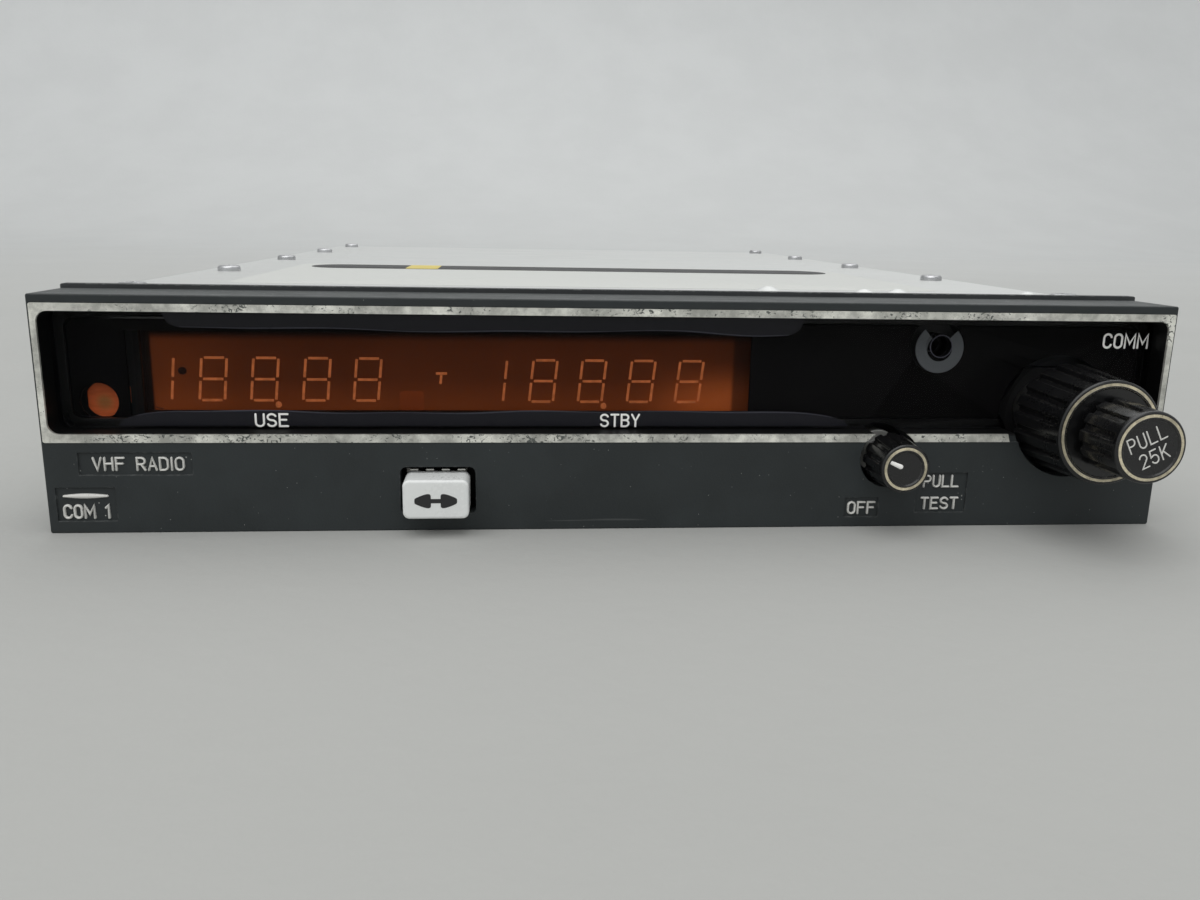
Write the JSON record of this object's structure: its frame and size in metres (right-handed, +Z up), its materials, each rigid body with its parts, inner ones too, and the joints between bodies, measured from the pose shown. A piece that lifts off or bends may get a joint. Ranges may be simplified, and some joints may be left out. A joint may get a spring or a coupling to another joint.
{
  "type": "panel-mounted airband transceiver",
  "caption": "Flat panel-mounted aviation radio with a smoked display window, concentric tuning knobs, a volume knob, a transfer button and a slide-in chassis with a rear lock.",
  "frame": {"origin": "centre of the overall box at the plane the radio rests on", "axes": "+X to the right seen from the front, +Y from the front panel to the rear, +Z up"},
  "size_m": [0.1588, 0.269, 0.0333],
  "materials": {
    "bezel_black": "fine texture, dusty",
    "trim_foil": "worn bright foil",
    "lens_smoke": "smoked amber, glossy",
    "mask_black": "flat black",
    "display_glass": "clear",
    "display_rear": "brown printed glass",
    "display_frit": "fused seal",
    "cathode": "pale orange",
    "tinned": "tin plated",
    "black_moulding": "moulded black",
    "sensor": "orange-red window",
    "circuit_board": "green laminate",
    "button_white": "satin white",
    "spring_steel": "drawn wire",
    "knob_black": "moulded black",
    "knob_ring": "bright, worn",
    "steel": "plated",
    "collar": "natural nylon",
    "control_metal": "plated can",
    "brass": "plain",
    "black_nut": "black oxide",
    "gold": "gold plated",
    "sheet_aluminium": "bright conversion coat",
    "panel_black": "dark grey paint",
    "sink_black": "black anodised",
    "capacitor": "blue sleeve",
    "bracket_steel": "plated sheet"
  },
  "bodies": {
    "radio_body": {"antenna_contact": "gold", "antenna_insulator": "collar", "antenna_jack": "tinned", "bezel": "bezel_black", "bezel_screws": "steel", "board_standoffs": "collar", "bottom_cover": "sheet_aluminium", "bottom_cover_screws": "steel", "connector_pins": "tinned", "display_back_glass": "display_rear", "display_board": "circuit_board", "display_cathodes": "cathode", "display_front_glass": "display_glass", "display_mask": "mask_black", "display_seal": "display_frit", "filter_capacitors": "capacitor", "heat_sink": "sink_black", "integrated_circuits": "black_moulding", "left_rail": "sheet_aluminium", "lens": "lens_smoke", "lock_bracket": "bracket_steel", "main_board": "circuit_board", "output_transistors": "black_moulding", "panel_header": "black_moulding", "pawl_pin": "steel", "photocell": "sensor", "rail_screws": "steel", "rear_connector": "black_moulding", "rear_contacts": "gold", "rear_panel": "sheet_aluminium", "rear_screws": "steel", "right_rail": "sheet_aluminium", "shield_cans": "tinned", "sub_panel": "panel_black", "top_cover": "sheet_aluminium", "top_cover_screws": "steel", "transfer_spring": "spring_steel", "transfer_switch": "black_moulding", "tuning_encoder": "control_metal", "tuning_nut": "black_nut", "volume_control": "control_metal", "volume_nut": "black_nut", "window_trim": "trim_foil"},
    "transfer_button": {"transfer_button": "button_white"},
    "volume_pull": {"volume_pull_collar": "collar"},
    "volume_knob": {"volume_knob": "knob_black", "volume_knob_ring": "knob_ring", "volume_shaft": "steel"},
    "outer_knob": {"outer_knob": "knob_black", "outer_knob_ring": "knob_ring", "outer_shaft": "steel", "outer_setscrew": "steel"},
    "tuning_pull": {"tuning_pull_collar": "collar"},
    "inner_knob": {"inner_knob": "knob_black", "inner_knob_ring": "knob_ring", "inner_shaft": "steel", "inner_setscrew": "steel"},
    "jack_screw": {"jack_screw": "steel"},
    "lock_nut": {"lock_nut": "brass"},
    "lock_pawl": {"lock_pawl": "steel"}
  },
  "joints": [
    {"name": "transfer_press", "type": "slide", "parent": "radio_body", "child": "transfer_button", "axis": [0, 1, 0], "range_m": [0, 0.0015], "stiffness_N_per_m": 300, "springref_m": -0.004, "deforming": ["transfer_spring"]},
    {"name": "volume_pull_slide", "type": "slide", "parent": "radio_body", "child": "volume_pull", "axis": [0, -1, 0], "range_m": [0, 0.0025]},
    {"name": "volume_turn", "type": "hinge", "parent": "volume_pull", "child": "volume_knob", "pos_m": [0.0383, -0.11588, 0.0103], "axis": [0, 1, 0], "range_deg": [-87, 213]},
    {"name": "outer_tuning_turn", "type": "hinge", "parent": "radio_body", "child": "outer_knob", "pos_m": [0.0654, -0.11588, 0.0161], "axis": [0, 1, 0], "continuous": true},
    {"name": "tuning_pull_slide", "type": "slide", "parent": "radio_body", "child": "tuning_pull", "axis": [0, -1, 0], "range_m": [0, 0.0025]},
    {"name": "inner_tuning_turn", "type": "hinge", "parent": "tuning_pull", "child": "inner_knob", "pos_m": [0.0654, -0.11588, 0.0161], "axis": [0, 1, 0], "continuous": true},
    {"name": "jack_screw_turn", "type": "hinge", "parent": "radio_body", "child": "jack_screw", "pos_m": [0.046, -0.11588, 0.02625], "axis": [0, 1, 0], "range_deg": [0, 1440]},
    {"name": "lock_nut_travel", "type": "slide", "parent": "radio_body", "child": "lock_nut", "axis": [0, 1, 0], "range_m": [0, 0.0032]},
    {"name": "lock_pawl_swing", "type": "hinge", "parent": "radio_body", "child": "lock_pawl", "pos_m": [0.05, 0.00413, 0.02025], "axis": [-1, 0, 0], "range_deg": [0, 30]}
  ],
  "couplings": [
    {"joint": "jack_screw_turn", "follows": "lock_nut_travel", "rad_per_m": 7854},
    {"joint": "lock_pawl_swing", "follows": "lock_nut_travel", "rad_per_m": 163.62}
  ]
}
